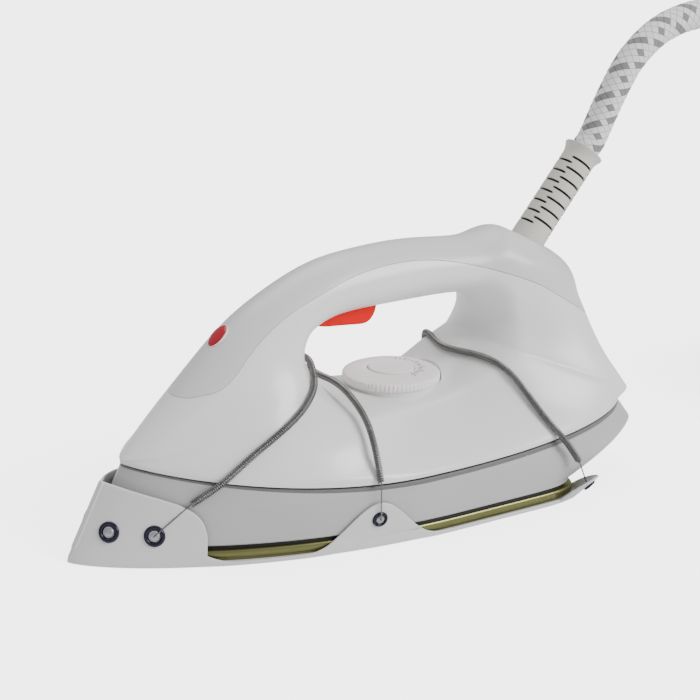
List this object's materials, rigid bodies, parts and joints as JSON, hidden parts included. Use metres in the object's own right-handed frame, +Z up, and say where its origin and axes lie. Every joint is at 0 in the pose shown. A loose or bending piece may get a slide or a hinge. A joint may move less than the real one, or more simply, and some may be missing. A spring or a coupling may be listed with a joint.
{
  "type": "electric iron",
  "caption": "Hand-held steam iron with a closed handle, thumb dial, finger trigger, hose outlet and a slip-on shoe held by coil springs.",
  "frame": {"origin": "on the floor plane under the middle of the iron's own box, without the free hose", "axes": "+X from the pointed nose to the heel, +Y to the iron's left-hand side seen from behind, +Z up from the shoe's underside"},
  "size_m": [0.576, 0.1816, 0.2271],
  "materials": {
    "shell_plastic": "smooth satin moulding",
    "cover_plastic": "smooth satin moulding, a little greyer",
    "skirt_plastic": "satin grey moulding",
    "trim_plastic": "dark, fine grain",
    "shoe_coat": "smooth coated",
    "sole_metal": "brushed, warm grey",
    "casting": "as cast",
    "gasket": "matt",
    "steel": "brushed",
    "shield_metal": "rolled sheet",
    "spring_steel": "close-wound wire",
    "eyelet_metal": "dark lacquer",
    "red_plastic": "smooth",
    "lens_plastic": "clear red, domed",
    "dial_plastic": "satin, knurled rim",
    "ceramic": "glazed body",
    "terminal_plastic": "moulded",
    "lamp_glass": "clear",
    "relief_rubber": "soft matt sleeve",
    "pipe_rubber": "silicone tube",
    "braid": "woven braid, white with grey flecks",
    "brass": "turned"
  },
  "bodies": {
    "iron": {"chamber_lid": "steel", "front_eyelet_1_far": "eyelet_metal", "front_eyelet_1_near": "eyelet_metal", "front_eyelet_2_far": "eyelet_metal", "front_eyelet_2_near": "eyelet_metal", "front_spring": "spring_steel", "fuse_clip": "steel", "handle_cover": "cover_plastic", "heat_shield": "shield_metal", "heating_element": "steel", "hose_clamp": "steel", "hose_coil": "braid", "hose_ferrule": "brass", "hose_run": "braid", "hose_tail": "braid", "hose_union_nut": "brass", "indicator_lens": "lens_plastic", "lid_screw_1": "steel", "lid_screw_2": "steel", "lid_screw_3": "steel", "lid_screw_4": "steel", "main_shell": "shell_plastic", "micro_switch": "trim_plastic", "mid_eyelet_far": "eyelet_metal", "mid_eyelet_near": "eyelet_metal", "mid_spring": "spring_steel", "neon_lamp": "lamp_glass", "rear_eyelet_far": "eyelet_metal", "rear_eyelet_near": "eyelet_metal", "rear_spring": "spring_steel", "seam_trim": "trim_plastic", "shoe": "shoe_coat", "skirt": "skirt_plastic", "sole_gasket": "gasket", "soleplate": "sole_metal", "steam_chamber": "casting", "steam_pipe": "pipe_rubber", "strain_relief": "relief_rubber", "terminal_block": "terminal_plastic", "thermal_fuse": "steel", "thermostat": "ceramic", "trigger_pin": "steel", "trigger_spring": "steel"},
    "trigger_lever": {"trigger": "red_plastic"},
    "plunger": {"switch_plunger": "red_plastic"},
    "dial": {"dial_knob": "dial_plastic", "dial_cap": "dial_plastic", "dial_spindle": "steel"}
  },
  "joints": [
    {"name": "trigger_pull", "type": "hinge", "parent": "iron", "child": "trigger_lever", "pos_m": [-0.017, 0, 0.0982], "axis": [0, -1, 0], "range_deg": [0, 7], "stiffness_Nm_per_rad": 0.3, "springref_deg": -11.46, "deforming": ["trigger_spring"]},
    {"name": "plunger_slide", "type": "slide", "parent": "iron", "child": "plunger", "axis": [0, 0, 1], "range_m": [0, 0.0026]},
    {"name": "dial_turn", "type": "hinge", "parent": "iron", "child": "dial", "pos_m": [0.0215, 0, 0.0578], "axis": [0, 0, 1], "range_deg": [0, 300]}
  ],
  "couplings": [
    {"joint": "plunger_slide", "follows": "trigger_pull", "m_per_rad": 0.02}
  ]
}
